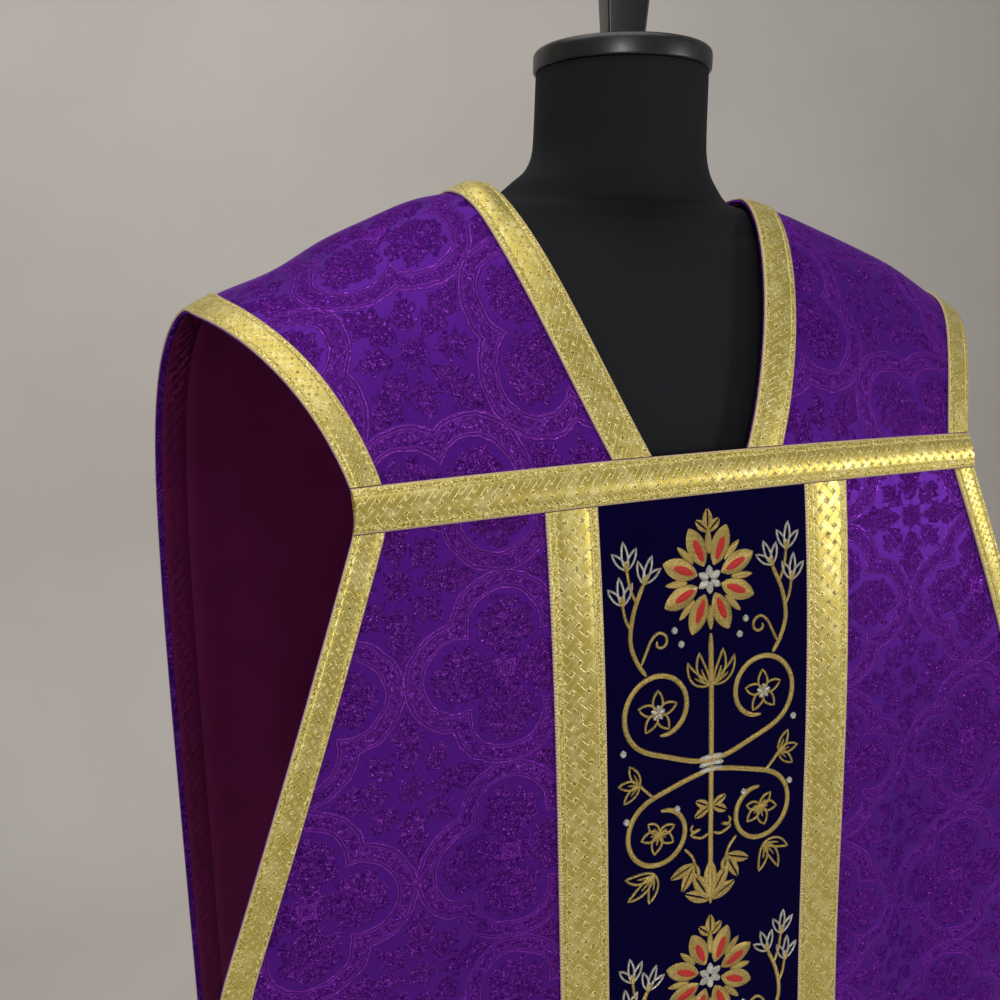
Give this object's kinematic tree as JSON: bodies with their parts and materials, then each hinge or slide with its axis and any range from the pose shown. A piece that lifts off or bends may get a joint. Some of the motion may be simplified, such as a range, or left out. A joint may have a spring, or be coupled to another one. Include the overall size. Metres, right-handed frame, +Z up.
{
  "type": "fiddleback chasuble on a limbless dress form with a stand",
  "caption": "Sleeveless open-sided vestment of stiff patterned cloth with a velvet centre panel and woven trims, worn by a limbless dress form on a pole stand.",
  "frame": {"origin": "centre of the stand base's underside, on the floor under the middle of the neck", "axes": "+Z up; the garment's front faces -Y; +X is the wearer's left"},
  "size_m": [0.6896, 0.4136, 1.6343],
  "materials": {
    "damask": "violet figured damask, satin figure on a matt ground",
    "lining": "dark wine satin lining",
    "galloon": "woven metallic gold braid with an interlaced pattern",
    "velvet": "very dark blue-violet velvet with raised metallic embroidery",
    "jersey": "black knitted cover",
    "lacquer": "black semi-gloss lacquered turned wood",
    "steel": "black powder-coated steel"
  },
  "bodies": {
    "root": {"back_panel": "damask", "back_lining": "lining", "front_panel": "damask", "front_lining": "lining", "neck_galloon": "galloon", "armhole_galloon_right": "galloon", "front_galloon_right": "galloon", "armhole_galloon_left": "galloon", "front_galloon_left": "galloon", "back_hem_galloon": "galloon", "front_hem_galloon": "galloon", "orphrey_velvet": "velvet", "orphrey_galloon_right": "galloon", "orphrey_galloon_left": "galloon", "chest_band": "galloon", "form_body": "jersey", "neck_cap": "lacquer", "finial": "lacquer", "form_socket": "steel", "stand_pole": "steel", "base_hub": "steel", "stand_base": "steel"}
  },
  "joints": []
}
